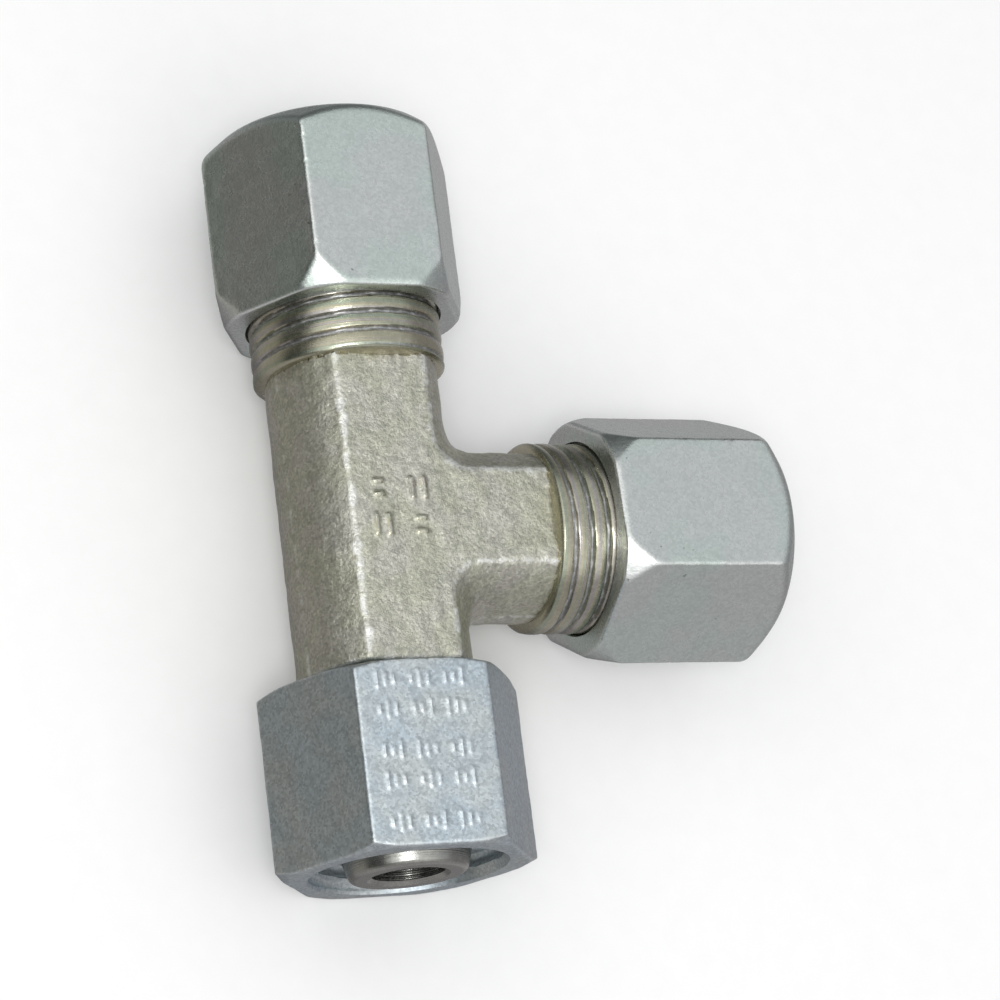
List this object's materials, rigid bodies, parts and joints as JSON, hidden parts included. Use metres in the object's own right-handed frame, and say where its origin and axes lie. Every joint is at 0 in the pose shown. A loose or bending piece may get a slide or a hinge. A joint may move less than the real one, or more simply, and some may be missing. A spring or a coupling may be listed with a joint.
{
  "type": "compression fitting",
  "caption": "Forged steel swivel run tee with cutting-ring compression ends for 10 mm tube and a swivel nut end.",
  "frame": {"origin": "tip of the swivel end's nose, on the axis of the run", "axes": "+Y along the run, out of its tube end; +X along the branch, out of its tube end; +Z square to both, out of one flat side of the forging"},
  "size_m": [0.046, 0.0631, 0.02],
  "materials": {
    "forged_steel": "zinc plated forging, granular and matt, with bright turned ends",
    "plated_nut": "satin zinc plating with faint iridescence",
    "ring_steel": "satin yellow-grey hardened steel",
    "blasted_nut": "grit-blasted zinc plating, blue-grey",
    "seal_rubber": "smooth black nitrile rubber",
    "wire_steel": "drawn spring wire"
  },
  "bodies": {
    "body": {"tee_body": "forged_steel", "cone_o_ring": "seal_rubber"},
    "run_ring": {"run_cutting_ring": "ring_steel"},
    "run_nut": {"run_union_nut": "plated_nut"},
    "branch_ring": {"branch_cutting_ring": "ring_steel"},
    "branch_nut": {"branch_union_nut": "plated_nut"},
    "swivel": {"swivel_nut": "blasted_nut", "nut_retaining_wire": "wire_steel"}
  },
  "joints": [
    {"name": "run_ring_slide", "type": "slide", "parent": "body", "child": "run_ring", "axis": [0, 1, 0], "range_m": [0, 0.00525]},
    {"name": "run_nut_turn", "type": "hinge", "parent": "run_ring", "child": "run_nut", "pos_m": [0, 0.055, 0], "axis": [0, 1, 0], "range_deg": [0, 1260]},
    {"name": "branch_ring_slide", "type": "slide", "parent": "body", "child": "branch_ring", "axis": [1, 0, 0], "range_m": [0, 0.00525]},
    {"name": "branch_nut_turn", "type": "hinge", "parent": "branch_ring", "child": "branch_nut", "pos_m": [0.027, 0.02815, 0], "axis": [1, 0, 0], "range_deg": [0, 1260]},
    {"name": "swivel_nut_spin", "type": "hinge", "parent": "body", "child": "swivel", "pos_m": [0, 0.0079, 0], "axis": [0, 1, 0], "continuous": true}
  ],
  "couplings": [
    {"joint": "run_ring_slide", "follows": "run_nut_turn", "m_per_rad": 0.00023873},
    {"joint": "branch_ring_slide", "follows": "branch_nut_turn", "m_per_rad": 0.00023873}
  ]
}
